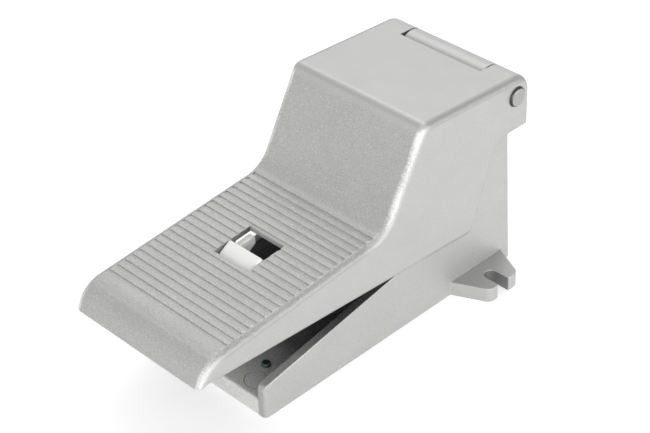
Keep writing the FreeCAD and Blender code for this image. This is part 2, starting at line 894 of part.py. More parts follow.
def seat_thrust_pad(body):
    """The blind seat of the steel thrust pad in the underside of the top plate."""
    below = pin_z - S.hinge_radius
    seat = new_sketch(body, "XY", (0, 0, below))
    circle(seat, dim(0), spool_y, S.pad_radius + S.seat_clearance)
    extrude(body, "Pocket", seat, thrust_pad_top() - below, flip=True)


def thrust_pad_top():
    return under_plate(spool_y) + S.pad_seat


def cut_serrations(body):
    """Saw teeth across the tread, cut as one notch with a steep rear wall and repeated."""
    start = -S.serration_first
    notch = new_sketch(body, "YZ", (start, top_of_tread(start), 0), S.tread_pitch)
    outline(notch, [
        (S.serration_lean, S.serration_depth),
        (0, -S.serration_depth),
        (-2 * S.serration_ramp, S.serration_depth),
    ])
    first = extrude(body, "Pocket", notch, 2 * S.serration_half_length, symmetric=True)
    along = new_sketch(body, "YZ", (0, 0, 0), S.tread_pitch)
    circle(along, 0, 0, 1)
    repeat(body, [first], (along, ["H_Axis"]), S.serration_spacing, S.serration_count, True)


# Hinge pin, washers and grub screw

def make_hinge():
    end = half_pedal + S.pin_stand_out
    pin = turned_crosswise("hinge_pin", pin_y, pin_z, [
        (-end, dim(0)), (-end, S.pin_radius, S.pin_edge_round),
        (end, S.pin_radius, S.pin_edge_round), (end, dim(0)),
    ])
    keep(pin, "hinge_pin")

    slack = (S.knuckle_gap - S.washer_thickness) / 2
    inner = half_knuckle + slack
    washer = turned_crosswise("hinge_washer", pin_y, pin_z, [
        (inner, S.pin_radius + S.running_clearance), (inner, S.washer_radius),
        (inner + S.washer_thickness, S.washer_radius),
        (inner + S.washer_thickness, S.pin_radius + S.running_clearance),
    ])
    pair(washer, "hinge_washers")

    grub = new_body("pin_grub_screw")
    tip = new_sketch(grub, "XZ", (0, 0, -(pin_y + S.pin_radius)))
    circle(tip, dim(0), pin_z, S.grub_radius)
    extrude(grub, "Pad", tip, S.grub_length, flip=True)
    socket = new_sketch(grub, "XZ", (0, 0, -(pin_y + S.pin_radius + S.grub_length)))
    hexagon(socket, dim(0), pin_z, S.grub_radius / 2)
    extrude(grub, "Pocket", socket, S.grub_length / 2, flip=True)
    keep(grub, "pin_grub_screw")


def hexagon(sketch, u, v, radius):
    corners = []
    for number in range(6):
        corners.append((u + radius * cosine(60 * number), v + radius * sine(60 * number)))
    outline(sketch, corners)


# Spool valve

def spool_profile():
    """Half section of the spool: lands with a seal groove each, and waists between."""
    half_groove = S.seal_wire * 1.05
    floor = S.land_radius - S.seal_wire * 2 - 0.02
    bottom = seal_z(0) - S.spool_tail
    pocket = S.spring_radius + S.spring_wire
    corners = [(dim(0), bottom + S.spring_pocket), (pocket, bottom + S.spring_pocket),
               (pocket, bottom), (S.land_radius, bottom)]
    for number in range(6):
        z = seal_z(number)
        reach = S.chamber_height * 0.42
        if number:
            corners += [(S.waist_radius, z - reach), (S.land_radius, z - reach)]
        corners += [(S.land_radius, z - half_groove), (floor, z - half_groove),
                    (floor, z + half_groove), (S.land_radius, z + half_groove)]
        if number < 5:
            corners += [(S.land_radius, z + reach), (S.waist_radius, z + reach)]
    top = seal_z(5) + S.chamber_height * 0.42
    button_seat = button_base() + S.button_socket
    corners += [(S.land_radius, top), (S.stem_radius, top), (S.stem_radius, button_seat),
                (dim(0), button_seat)]
    return corners


def seal_z(number):
    """Height of a seal at rest: end seals, and the four that open and close the ports."""
    half = S.chamber_height / 2
    return (
        port_z(0) - half - S.end_seal_lap,
        port_z(1) - half - S.seal_lap,
        port_z(2) - half + S.seal_lead,
        port_z(3) - half - S.seal_lap,
        port_z(4) - half + S.seal_lead,
        gland_seat - S.top_seal_drop,
    )[number]


def button_top():
    """Top of the push button, a hair under the thrust pad."""
    return under_plate(spool_y) - S.pad_stand_out - S.button_gap


def button_base():
    return button_top() - S.button_height


def make_valve():
    keep(turned_upright("spool", dim(0), spool_y, spool_profile()), "spool")

    rings = []
    for number in range(6):
        ring = doc.addObject("Part::Torus", f"spool_seal_{number + 1}")
        wire = S.seal_wire
        big = S.land_radius + 0.04 - wire
        ring.Radius1, ring.Radius2 = big.value, wire.value
        bind(ring, "Radius1", big)
        bind(ring, "Radius2", wire)
        set_place(ring, dim(0), spool_y, seal_z(number))
        rings.append(ring)
    seals = doc.addObject("Part::Compound", "spool_seals")
    seals.Links = rings
    keep(seals, "spool_seals")

    top, base = button_top(), button_base()
    button = turned_upright("push_button", dim(0), spool_y, [
        (dim(0), base + S.button_socket + S.seat_clearance),
        (S.stem_radius + S.seat_clearance, base + S.button_socket + S.seat_clearance),
        (S.stem_radius + S.seat_clearance, base), (S.button_radius, base),
        (S.button_radius, top - S.button_dome, 2.5), (dim(0), top),
    ])
    keep(button, "push_button")

    seat, cover = gland_seat + S.seat_clearance, S.block_height
    rim = S.gland_radius - S.seat_clearance
    throat = S.stem_radius + S.running_clearance
    groove = S.stem_radius + 2 * S.seal_wire + 0.15
    middle = seat + 2.4
    gland = turned_upright("gland_nut", dim(0), spool_y, [
        (throat, seat), (rim, seat), (rim, cover), (S.stem_radius + 2, cover), (throat, cover - 1.5),
        (throat, middle + S.seal_wire * 1.1), (groove, middle + S.seal_wire * 1.1),
        (groove, middle - S.seal_wire * 1.1), (throat, middle - S.seal_wire * 1.1),
    ])
    slot = new_sketch(gland, "XY", (0, spool_y, cover))
    rectangle(slot, -S.gland_radius - 1, S.gland_radius + 1, -S.gland_slot / 2, S.gland_slot / 2)
    extrude(gland, "Pocket", slot, S.gland_slot / 2)
    keep(gland, "gland_nut")

    ring = doc.addObject("Part::Torus", "gland_seal")
    big = S.stem_radius + 0.08 + S.seal_wire
    ring.Radius1, ring.Radius2 = big.value, S.seal_wire.value
    bind(ring, "Radius1", big)
    bind(ring, "Radius2", S.seal_wire)
    keep(ring, "gland_seal", spool_y, z=middle)


def set_place(thing, x, y, z):
    """Put a primitive at a place taken from the sheet."""
    thing.Placement = FreeCAD.Placement(FreeCAD.Vector(x.value, y.value, z.value),
                                        FreeCAD.Rotation())
    for axis, value in zip("xyz", (x, y, z)):
        bind(thing, f"Placement.Base.{axis}", value)


def make_bottom_end():
    """Threaded cap that closes the bore, its ring and the return spring on it."""
    low, high = S.cap_recess, S.plug_seat - S.seat_clearance
    rim = S.cap_radius - S.seat_clearance
    inner = S.bore_radius - 1.6
    spigot = high + 3
    ring_z = low + (high - low) * 0.55
    groove = rim - S.seal_wire * 2 - 0.1
    half_groove = S.seal_wire * 1.1
    cap = turned_upright("bottom_cap", dim(0), spool_y, [
        (dim(0), low + 2), (dim(3), low + 2), (dim(3), low), (rim, low, 0.4),
        (rim, ring_z - half_groove), (groove, ring_z - half_groove),
        (groove, ring_z + half_groove), (rim, ring_z + half_groove),
        (rim, high), (inner, high), (inner, spigot), (S.spring_radius + S.spring_wire, spigot),
        (S.spring_radius + S.spring_wire, high - 1), (dim(0), high - 1),
    ])
    keep(cap, "bottom_cap")

    ring = doc.addObject("Part::Torus", "cap_seal")
    big = S.cap_radius - 0.05 - S.seal_wire
    ring.Radius1, ring.Radius2 = big.value, S.seal_wire.value * 1.0
    bind(ring, "Radius1", big)
    bind(ring, "Radius2", S.seal_wire)
    keep(ring, "cap_seal", spool_y, z=ring_z)

    floor = high - 1
    roof = seal_z(0) - S.spool_tail + S.spring_pocket
    wire = S.spring_wire / 2
    body = new_body("return_spring")
    section = new_sketch(body, "YZ", (spool_y, floor + wire + 0.05, 0))
    circle(section, S.spring_radius, dim(0), wire)
    doc.recompute()
    coil = body.newObject("PartDesign::AdditiveHelix", "return_spring_coil")
    coil.Profile = (section, [""])
    coil.ReferenceAxis = (section, ["V_Axis"])
    coil.Mode = "height-turns-angle"
    height = roof - floor - S.spring_wire - 0.1
    coil.Height, coil.Turns = height.value, S.spring_turns.value
    bind(coil, "Height", height)
    bind(coil, "Turns", S.spring_turns)
    settle(body, coil, 0.0)
    keep(body, "return_spring")


def make_thrust_pad():
    """Steel disc set in the underside of the top plate, where the button runs."""
    body = new_body("thrust_pad")
    face = new_sketch(body, "XY", (0, 0, thrust_pad_bottom()))
    circle(face, dim(0), spool_y, S.pad_radius)
    extrude(body, "Pad", face, thrust_pad_top() - thrust_pad_bottom())
    keep(body, "thrust_pad")


def thrust_pad_bottom():
    return under_plate(spool_y) - S.pad_stand_out


# Lock latch, its pin, rings and spring

def make_latch():
    body = new_body("lock_latch")
    pitch = S.latch_pad_pitch
    rise, rear = S.latch_pad_rise, -S.latch_pad_rear
    ahead = rear - S.latch_pad_length
    front_z = rise - S.latch_pad_length * tangent(pitch)
    thick_y, thick_z = S.latch_pad_thickness * sine(pitch), S.latch_pad_thickness * cosine(pitch)
    top_rear, top_front = latch_point(rear, rise), latch_point(ahead, front_z)
    low_front = latch_point(ahead + thick_y, front_z - thick_z)
    low_rear = latch_point(rear + thick_y, rise - thick_z)

    pad = new_sketch(body, "YZ")
    outline(pad, [top_rear + (0.4,), top_front + (0.6,), low_front, low_rear])
    extrude(body, "Pad", pad, S.latch_width, symmetric=True)
    half = S.latch_width.value / 2
    dress(body, "Fillet", S.latch_pad_round,
          lambda edge: edge.BoundBox.XLength < 1e-4
          and abs(abs(edge.BoundBox.XMin) - half) < 1e-4
          and edge.BoundBox.YLength > S.latch_pad_length.value / 2
          and edge.CenterOfMass.z > (top_rear[1].value + top_front[1].value) / 2 - 1)

    # hub, leg and hook in the middle
    core = new_sketch(body, "YZ")
    drop, deep, tip = -S.hook_drop, -S.hook_drop - S.hook_depth, S.hook_tip
    leg_front, leg_rear = dim(-6.5), dim(-6.5) + S.hook_leg
    hub = S.latch_hub_radius
    outline(core, [
        latch_point(hub, hub) + (hub * 0.98,),
        latch_point(rear + thick_y / 2, rise - thick_z / 2),
        latch_point(ahead + thick_y / 2 + 2, front_z - thick_z / 2 + 2 * tangent(pitch)),
        hook_point(leg_front, dim(-4)) + (2.0,),
        hook_point(leg_front, deep) + (0.8,),
        hook_point(tip - 1.6, deep) + (0.8,),
        hook_point(tip, drop - 1.4) + (0.5,),
        hook_point(tip, drop),
        hook_point(leg_rear, drop) + (0.8,),
        hook_point(leg_rear, -hub) + (1.5,),
        latch_point(hub, -hub) + (hub * 0.98,),
    ])
    extrude(body, "Pad", core, S.latch_core_width, symmetric=True)

    # cheeks on both sides, just under the tread, with the pin's hub between them
    cheek = new_sketch(body, "YZ", (0, 0, S.latch_width / 2 - S.latch_cheek))
    under = top_of_tread(latch_y) - S.tread_thickness - 0.75 - latch_z
    rear_end = -S.window_rear - latch_y - 0.5
    outline(cheek, [
        latch_point(rear_end, under + rear_end * tangent(S.tread_pitch)) + (0.8,),
        latch_point(rear + thick_y / 2, under + rear * tangent(S.tread_pitch)),
        latch_point(ahead + thick_y / 2 + 2, front_z - thick_z / 2 + 2 * tangent(pitch)),
        latch_point(-hub, -hub * 0.9) + (1.5,),
        latch_point(hub * 0.5, -hub * 0.9) + (2.0,),
        latch_point(rear_end, S.latch_cheek_rise) + (0.5,),
    ])
    first = extrude(body, "Pad", cheek, S.latch_cheek)
    mirror(body, [first])
    hub_sketch = new_sketch(body, "YZ")
    circle(hub_sketch, latch_y, latch_z, S.latch_pin_radius + 1.2)
    extrude(body, "Pad", hub_sketch, S.latch_width, symmetric=True)
    hole = new_sketch(body, "YZ")
    circle(hole, latch_y, latch_z, S.latch_pin_radius + S.running_clearance)
    extrude(body, "Pocket", hole, S.latch_width + 2, symmetric=True)
    keep(body, "lock_latch")

    outer = S.latch_lug_inner + S.latch_lug_thickness
    end = outer + 2.2
    neck, low, high = S.latch_pin_radius - 0.4, outer + 0.3, outer + 1.1
    pin = turned_crosswise("latch_pin", latch_y, latch_z, [
        (-end, dim(0)), (-end, S.latch_pin_radius), (-high, S.latch_pin_radius), (-high, neck),
        (-low, neck), (-low, S.latch_pin_radius), (low, S.latch_pin_radius), (low, neck),
        (high, neck), (high, S.latch_pin_radius), (end, S.latch_pin_radius), (end, dim(0)),
    ])
    keep(pin, "latch_pin")
    ring = turned_crosswise("latch_ring", latch_y, latch_z, [
        (low + 0.05, neck + S.seat_clearance), (low + 0.05, S.latch_pin_radius + 1.5),
        (high - 0.05, S.latch_pin_radius + 1.5), (high - 0.05, neck + S.seat_clearance),
    ])
    pair(ring, "latch_rings")
    make_latch_spring(low_front)


def make_latch_spring(pad_corner):
    """Torsion spring on the pin between the latch and its right lug."""
    wire = S.latch_wire / 2
    coil_radius = S.latch_pin_radius + 0.35 + wire
    start = S.latch_width / 2 + 0.3 + wire
    body = new_body("latch_spring")
    section = new_sketch(body, "XZ", (start, latch_z, -latch_y))
    circle(section, dim(0), coil_radius, wire)
    doc.recompute()
    coil = body.newObject("PartDesign::AdditiveHelix", "latch_spring_coil")
    coil.Profile = (section, [""])
    coil.ReferenceAxis = (section, ["H_Axis"])
    coil.Mode = "height-turns-angle"
    height = S.latch_lug_inner - S.latch_width / 2 - 0.6 - S.latch_wire
    coil.Height, coil.Turns = height.value, 2.0
    bind(coil, "Height", height)
    settle(body, coil, 0.0)

    # one leg under the tread behind the window, the other under the latch's pad
    leg_wire = wire + 0.04
    rear_leg = new_sketch(body, "XZ", (0, 0, -latch_y + wire))
    circle(rear_leg, start + height, latch_z + coil_radius, leg_wire)
    extrude(body, "Pad", rear_leg, S.latch_rear_leg, flip=True)
    front_leg = new_sketch(body, "XZ", (0, 0, -latch_y - wire))
    circle(front_leg, start, latch_z + coil_radius, leg_wire)
    extrude(body, "Pad", front_leg, S.latch_front_leg)
    keep(body, "latch_spring")


# Catch bracket, its screws and the driven plugs in the tray floor

def make_tray_parts():
    body = new_body("catch_bracket")
    side = new_sketch(body, "YZ")
    front = catch_front()
    rear = front + S.catch_plate + S.catch_foot
    lip_under = locked_pivot[1] - S.hook_drop + S.catch_gap
    lip_tip = front - S.catch_overlap
    plate = S.catch_plate
    outline(side, [
        (rear, S.floor_thickness),
        (rear, S.floor_thickness + plate),
        (front + plate, S.floor_thickness + plate, 0.6),
        (front + plate, lip_under + plate, plate * 0.95),
        (lip_tip, lip_under + plate),
        (lip_tip, lip_under),
        (front, lip_under, 0.3),
        (front, S.floor_thickness),
    ])
    extrude(body, "Pad", side, S.catch_width, symmetric=True)
    for x in (-S.catch_screw_spacing / 2, S.catch_screw_spacing / 2):
        hole = new_sketch(body, "XY", (0, 0, S.floor_thickness))
        circle(hole, x, catch_screw_y(), S.screw_radius + 0.2)
        extrude(body, "Pocket", hole, S.catch_plate + 0.5, flip=True)
    keep(body, "catch_bracket")

    seat = S.floor_thickness + S.catch_plate
    screw = turned_upright("catch_screw", S.catch_screw_spacing / 2, catch_screw_y(), [
        (dim(0), seat - S.screw_length + 0.4), (S.screw_radius, seat - S.screw_length + 0.4),
        (S.screw_radius, seat), (S.screw_head_radius, seat),
        (S.screw_head_radius, seat + S.screw_head_height, 1.0), (dim(0), seat + S.screw_head_height),
    ])
    slot = new_sketch(screw, "XY", (S.catch_screw_spacing / 2, catch_screw_y(),
                                    seat + S.screw_head_height))
    rectangle(slot, dim(-0.5), dim(0.5), -S.screw_head_radius - 1, S.screw_head_radius + 1)
    extrude(screw, "Pocket", slot, 1.0)
    pair(screw, "catch_screws")

    low = S.floor_thickness - S.plug_depth + 0.1
    top = S.floor_thickness + S.plug_stand_out
    plug = turned_upright("floor_plug", S.plug_spacing / 2, -S.base_length + S.plug_setback, [
        (dim(0), low), (S.plug_radius, low), (S.plug_radius, top, 0.5), (dim(0), top),
    ])
    recess = new_sketch(plug, "XY", (S.plug_spacing / 2, -S.base_length + S.plug_setback, top))
    hexagon(recess, dim(0), dim(0), S.plug_socket)
    extrude(plug, "Pocket", recess, S.plug_stand_out)
    pair(plug, "floor_plugs")


def export_nodes():
    """Check every object, then write one file for each node."""
    doc.recompute()
    for thing in doc.Objects:
        if "Invalid" in thing.State or "Error" in thing.State:
            raise RuntimeError(f"{thing.Name} is {thing.State}")
    for node in NODES:
        if node.Shape.isNull() or not node.Shape.isValid():
            raise RuntimeError(f"{node.Label} has no valid shape")
    os.makedirs("parts", exist_ok=True)
    for node in NODES:
        node.Shape.exportStep(f"parts/{node.Label}.step")
        print(f"{node.Label}: {len(node.Shape.Solids)} solid, {node.Shape.Volume / 1000:.2f} cm3")


make_base()
make_pedal()
make_hinge()
make_valve()
make_bottom_end()
make_thrust_pad()
make_latch()
make_tray_parts()
export_nodes()
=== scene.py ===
"""Foot pedal air valve with a lock latch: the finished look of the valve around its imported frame."""
import json
import math

import bpy
from mathutils import Matrix, Vector


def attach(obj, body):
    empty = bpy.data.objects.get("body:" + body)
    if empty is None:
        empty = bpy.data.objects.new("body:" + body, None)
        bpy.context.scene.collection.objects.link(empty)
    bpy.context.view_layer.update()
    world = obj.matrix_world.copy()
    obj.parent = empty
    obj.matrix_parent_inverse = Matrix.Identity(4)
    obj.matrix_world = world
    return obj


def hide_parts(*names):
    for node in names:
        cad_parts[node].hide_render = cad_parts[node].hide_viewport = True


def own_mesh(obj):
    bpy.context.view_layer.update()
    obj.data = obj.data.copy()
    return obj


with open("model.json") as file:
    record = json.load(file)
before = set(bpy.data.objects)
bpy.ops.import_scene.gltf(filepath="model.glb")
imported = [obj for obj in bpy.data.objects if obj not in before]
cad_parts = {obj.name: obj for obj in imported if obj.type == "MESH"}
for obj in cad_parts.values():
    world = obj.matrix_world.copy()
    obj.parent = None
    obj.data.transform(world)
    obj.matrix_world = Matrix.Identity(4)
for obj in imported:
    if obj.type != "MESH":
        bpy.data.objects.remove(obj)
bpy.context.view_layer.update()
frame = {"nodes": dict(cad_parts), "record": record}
valve_nodes = frame["nodes"]
MILLIMETRE = 0.001


# Pedal and base castings
# Both are sand-cast aluminium, fettled and sprayed with a silver-grey paint. The paint lies
# over a fine grain that sparkles a little on the tread and fades out on the flat flanks.

CASTING_GREY = (0.53, 0.53, 0.526)
DARKEST, LIGHTEST = 0.8, 1.2
SPECK_AND_HIGHLIGHT_WHITE = (0.95, 0.95, 0.94)
GRAIN_PER_METRE = 1700.0
SPECKS_PER_METRE = 1500.0
CLOUDS_PER_METRE = 70.0
THICK_PATCHES_PER_METRE = 45.0
CASTING_EDGE = 0.0005
BLOCK_FRONT = -0.0290

# the pedal's own places
TOP_PLATE_HEIGHT = 0.0945
HINGE_REAR, HINGE_TOP, PLATE_SLOPE = 0.01965, 0.0933, 0.05801
CREST = -0.0345
HIGHLIGHT_CREST_GAP = 0.0045
HEEL, HEEL_HEIGHT, TREAD_SLOPE = -0.0580, 0.0561, 0.08415
NOSE_REAR = -0.1500
SIDE_HIGHLIGHT_FROM = 0.0337
CALM_FROM, CALM_TO = 0.0660, 0.0900
SERRATED_HALF = 0.0348
SERRATION_BAND = 0.0010
SERRATION_END_FROM, SERRATION_END_TO, SERRATION_END_BAND = 0.0339, 0.0347, 0.0012
PLATE_EDGE_BAND, TREAD_EDGE_BAND, TREAD_EDGE_START = 0.0036, 0.0040, 0.0060

# the base's own places
TRAY_FRONT, TRAY_REAR, TRAY_HEIGHT, HALF_TRAY = -0.1240, -0.0285, 0.0200, 0.02955
WALL_FRONT_HEIGHT, WALL_SLOPE = 0.0154, 0.17507
RIM_INSIDE, RIM_OUTSIDE, RIM_BAND = 0.0325, 0.0337, 0.00045
RIM_SHADOW_INSIDE, RIM_SHADOW_OUTSIDE, RIM_SHADOW_BAND, RIM_SHADOW_REACH = 0.0290, 0.0345, 0.0006, 0.1040
DUSK_FRONT = -0.1180
EJECTOR_ACROSS, EJECTOR_ALONG, EJECTOR_RADIUS, EJECTOR_LINE = 0.0199, -0.1159, 0.0050, 0.00035
LUG_FROM, LUG_HEIGHT = 0.0332, 0.0080
SLOT_HALF, SLOT_FROM, SLOT_HEIGHT = 0.0036, 0.0370, 0.0065


class Signal:
    """A socket of a finish. Arithmetic on it adds the Math nodes."""

    def __init__(self, finish, socket):
        self.finish = finish
        self.socket = socket

    def combine(self, operation, first, second):
        return self.finish.combine(operation, first, second)

    def __add__(self, other):
        return self.combine("ADD", self, other)

    def __sub__(self, other):
        return self.combine("SUBTRACT", self, other)

    def __rsub__(self, other):
        return self.combine("SUBTRACT", other, self)

    def __mul__(self, other):
        return self.combine("MULTIPLY", self, other)

    def __abs__(self):
        return self.combine("ABSOLUTE", self, 0.0)

    def clamp(self, high=1.0):
        """The signal, kept between nothing and high."""
        return self.combine("MINIMUM", self.combine("MAXIMUM", self, 0.0), high)

    def ramp(self, slope):
        """Nothing where the signal is below nothing, rising to 1 by the slope."""
        return (self * slope).clamp()


class Finish:
    """A material of the valve with one principled surface."""

    def __init__(self, name):
        self.material = bpy.data.materials.new(name)
        self.material.use_nodes = True
        self.tree = self.material.node_tree
        self.surface = self.tree.nodes["Principled BSDF"]

    def node(self, kind, settings=None, inputs=None, output=0):
        made = self.tree.nodes.new(kind)
        for name, value in (settings or {}).items():
            setattr(made, name, value)
        for name, value in (inputs or {}).items():
            self.feed(made.inputs[name], value)
        return Signal(self, made.outputs[output])

    def feed(self, socket, value):
        if isinstance(value, Signal):
            self.tree.links.new(value.socket, socket)
        elif isinstance(value, (tuple, list)) and len(value) == 3 and socket.type == "RGBA":
            socket.default_value = (*value, 1.0)
        else:
            socket.default_value = value

    def combine(self, operation, first, second):
        return self.node("ShaderNodeMath", {"operation": operation}, {0: first, 1: second})

    def set(self, **values):
        for name, value in values.items():
            self.feed(self.surface.inputs[name.replace("_", " ")], value)

    def place(self):
        return self.node("ShaderNodeTexCoord", output="Object")

    def parts(self, vector):
        """The three parts of a vector, as signals."""
        split = self.node("ShaderNodeSeparateXYZ", {}, {0: vector}).socket.node
        return [Signal(self, part) for part in split.outputs]

    def faces(self):
        """Which way the surface faces: right, back and up."""
        return self.parts(self.node("ShaderNodeNewGeometry", output="Normal"))

    def scaled(self, vector, share):
        return self.node("ShaderNodeVectorMath", {"operation": "SCALE"}, {0: vector, "Scale": share})

    def noise(self, vector, scale, detail=2.0, roughness=0.5):
        return self.node("ShaderNodeTexNoise", {"noise_dimensions": "3D"},
                         {"Vector": vector, "Scale": scale, "Detail": detail, "Roughness": roughness})

    def tint(self, factor, first, second):
        """A mix of two colours. The node has sockets of one name, so they go by number."""
        return self.node("ShaderNodeMix", {"data_type": "RGBA"},
                         {0: factor, 6: first, 7: second}, output=2)

    def bump(self, height, strength, distance, **over):
        return self.node("ShaderNodeBump", {},
                         {"Strength": strength, "Distance": distance, "Height": height, **over})


def wear(nodes, finish):
    """Give the named nodes this finish."""
    for name in nodes:
        piece = valve_nodes[name]
        piece.data.materials.clear()
        piece.data.materials.append(finish.material)


silver_paint = Finish("silver_paint")
paint_place = silver_paint.place()
across, along, height = silver_paint.parts(paint_place)
faces_right, faces_back, faces_up = silver_paint.faces()
outward = faces_right * silver_paint.combine("SIGN", across, 0.0)
aside = abs(across)
fine_grain = silver_paint.noise(paint_place, GRAIN_PER_METRE, 2.0, 0.6)
cloudy = silver_paint.noise(paint_place, CLOUDS_PER_METRE, 3.0, 0.55)

# the grain lies on the tread, riser and nose, and fades out on the flanks and the top plate
coarse = ((1.35 - outward * 1.3).clamp() * (TOP_PLATE_HEIGHT - height).ramp(400.0)
          * (BLOCK_FRONT - along).ramp(150.0))
thick_paint = (silver_paint.noise(paint_place, THICK_PATCHES_PER_METRE, 2.0) * 2.4 - 0.7).clamp()
specks = silver_paint.node("ShaderNodeTexVoronoi", {"voronoi_dimensions": "3D", "feature": "F1"},
                           {"Vector": paint_place, "Scale": SPECKS_PER_METRE})
speck = (0.33 - specks).ramp(7.0) * (fine_grain * 4.0 - 1.9).clamp()
sparkle = speck * coarse * (thick_paint * 0.7 + 0.3)
mottle = ((fine_grain - 0.5) * (coarse * 1.5 + outward * 0.7 + 0.15)
          + (cloudy - 0.5) * 0.3 + 0.5).clamp()

# every cast edge is a little rounded, less so on the serrations, and a painted highlight brightens it
off_tread = abs((along - HEEL) * TREAD_SLOPE + HEEL_HEIGHT - height)
serration = (SERRATION_BAND - off_tread).ramp(4000.0) * (SERRATED_HALF - aside).ramp(4000.0)
softened = silver_paint.node("ShaderNodeBevel", {"samples": 6},
                             {"Radius": (1.0 - serration * 0.65) * CASTING_EDGE})
flat_side = silver_paint.node("ShaderNodeNewGeometry", output="True Normal")
alike = silver_paint.node("ShaderNodeVectorMath", {"operation": "DOT_PRODUCT"},
                          {0: softened, 1: flat_side}, output="Value")
cast_edge = (0.985 - alike).ramp(6.0)

# painted highlights lie along the sides of the pedal, brightest at the riser and the nose, along the
# tray's rims, at the ends of the serrations and on the cast edges; painted light lifts the shaded steep
# walls of the serrations
side_highlight = ((aside - SIDE_HIGHLIGHT_FROM).ramp(900.0) * (1.3 - outward * 1.3).clamp()
               * (TOP_PLATE_HEIGHT - height).ramp(600.0)
               * (BLOCK_FRONT - HIGHLIGHT_CREST_GAP - along).ramp(600.0))
wall_top = (along - TRAY_FRONT) * WALL_SLOPE + WALL_FRONT_HEIGHT
off_wall_top = abs(height - wall_top)
rim_highlight = ((RIM_BAND - off_wall_top).ramp(5000.0) * (aside - RIM_INSIDE).ramp(4000.0)
              * (RIM_OUTSIDE - aside).ramp(4000.0) * (BLOCK_FRONT - along).ramp(900.0))
brightest_at_riser_and_nose = (along - HEEL).ramp(120.0) + (NOSE_REAR - along).ramp(120.0)
serration_wall = serration * (0.0 - faces_back - 0.3).ramp(4.0)
serration_end = ((across - SERRATION_END_FROM).ramp(8000.0) * (SERRATION_END_TO - across).ramp(8000.0)
                 * (SERRATION_END_BAND - off_tread).ramp(4000.0))
on_lug = (aside - LUG_FROM).ramp(2000.0) * (LUG_HEIGHT - height).ramp(2000.0)
calm = (height - CALM_FROM).ramp(150.0) * (CALM_TO - height).ramp(150.0)
painted_highlight = (side_highlight * (fine_grain * 3.4 - 1.2 + brightest_at_riser_and_nose * (1.0 - calm) * 0.5).clamp()
          * (brightest_at_riser_and_nose * (1.3 - calm * 0.6) + 0.15)
          + rim_highlight * 1.2
          + serration_end * (fine_grain * 4.0 - 1.6).clamp() * 0.45
          + serration_wall * 0.35 + cast_edge * (on_lug * 0.25 + 0.35)).clamp()

# painted shade darkens the hollows of the pedal and the rear of the tray
facing_in = (0.0 - outward - 0.4).ramp(4.0)
facing_down = (0.0 - faces_up - 0.4).ramp(4.0)
in_tray = ((HALF_TRAY - aside).ramp(4000.0) * (TRAY_HEIGHT - height).ramp(2000.0)
           * (TRAY_REAR - along).ramp(2000.0) * (1.0 - facing_down))
deep = (along - DUSK_FRONT).ramp(35.0)
painted_hollow_shade = ((facing_in + facing_down).clamp() * deep * 0.74 + in_tray * deep * 0.55).clamp(0.8)

# painted shade darkens the rounded edges of top plate and tread, the rims of the tray's walls under the
# pedal, and the slots and tops of the lugs; the ejector marks' rings are darker than the paint around
# them; and painted light makes the front of the tray paler
plate_height = (HINGE_REAR - along) * PLATE_SLOPE + HINGE_TOP
side_round = (outward * faces_up).ramp(6.0)
on_plate_edge = (side_round * (height - plate_height + PLATE_EDGE_BAND).ramp(2000.0)
                 * (along - CREST).ramp(400.0))
on_tread_edge = (side_round * (TREAD_EDGE_BAND - off_tread).ramp(2000.0)
                 * (HEEL - TREAD_EDGE_START - along).ramp(150.0) * (along - NOSE_REAR).ramp(150.0))
ring_across, ring_along = aside - EJECTOR_ACROSS, along - EJECTOR_ALONG
from_ring_middle = silver_paint.combine(
    "SQRT", ring_across * ring_across + ring_along * ring_along, 0.0)
ejector_mark = in_tray * (EJECTOR_LINE - abs(from_ring_middle - EJECTOR_RADIUS)).ramp(6000.0)
painted_rim_shadow = ((RIM_SHADOW_BAND - off_wall_top).ramp(4000.0) * (aside - RIM_SHADOW_INSIDE).ramp(4000.0)
             * (RIM_SHADOW_OUTSIDE - aside).ramp(4000.0) * (BLOCK_FRONT - along).ramp(900.0)
             * (along + RIM_SHADOW_REACH).ramp(40.0))
in_slot = ((SLOT_HALF - abs(along)).ramp(8000.0) * (aside - SLOT_FROM).ramp(2000.0)
           * (SLOT_HEIGHT - height).ramp(8000.0))
lug_top = on_lug * (faces_up - 0.5).ramp(4.0)
paint = silver_paint.tint(mottle, tuple(c * DARKEST for c in CASTING_GREY),
                          tuple(c * LIGHTEST for c in CASTING_GREY))
shade = ((1.0 - coarse * 0.06) * (1.0 - painted_hollow_shade) * (1.0 - in_slot * 0.5)
         * (1.0 - (on_plate_edge + on_tread_edge) * 0.2) * (1.0 - painted_rim_shadow * 0.7)
         * (1.0 - ejector_mark * 0.35) * (1.0 - lug_top * 0.18)
         * (in_tray * (1.0 - deep) * 0.6 + 1.0))
paint_with_shade_and_marks = silver_paint.scaled(paint, shade)
# the paint's specks and the painted highlights both lighten the colour towards white
silver_paint.set(
    Base_Color=silver_paint.tint((sparkle + painted_highlight * 0.75).clamp(), paint_with_shade_and_marks, SPECK_AND_HIGHLIGHT_WHITE),
    Metallic=0.55,
    Roughness=0.46 - sparkle * 0.16,
    Normal=silver_paint.bump(fine_grain * (coarse + outward * 0.4 + 0.06), 0.7, 0.0004,
                             Normal=softened))
wear(("pedal", "base"), silver_paint)


# Hinge pin, thrust pad and grub screw
# The pin is oiled ground steel whose end faces stand out of the pedal's ears; a painted dark reflection
# lies on its sides and rounded rims, so the end faces look paler.
# The grub screw in the rear of the knuckle holds it, so only the pedal turns on it.

ground_steel = Finish("ground_steel")
steel_place = ground_steel.place()
turning = ground_steel.noise(steel_place, 900.0, 2.0)
ground_steel.set(Base_Color=(0.62, 0.62, 0.61), Metallic=1.0, Roughness=turning * 0.1 + 0.16)
wear(("thrust_pad", "pin_grub_screw"), ground_steel)

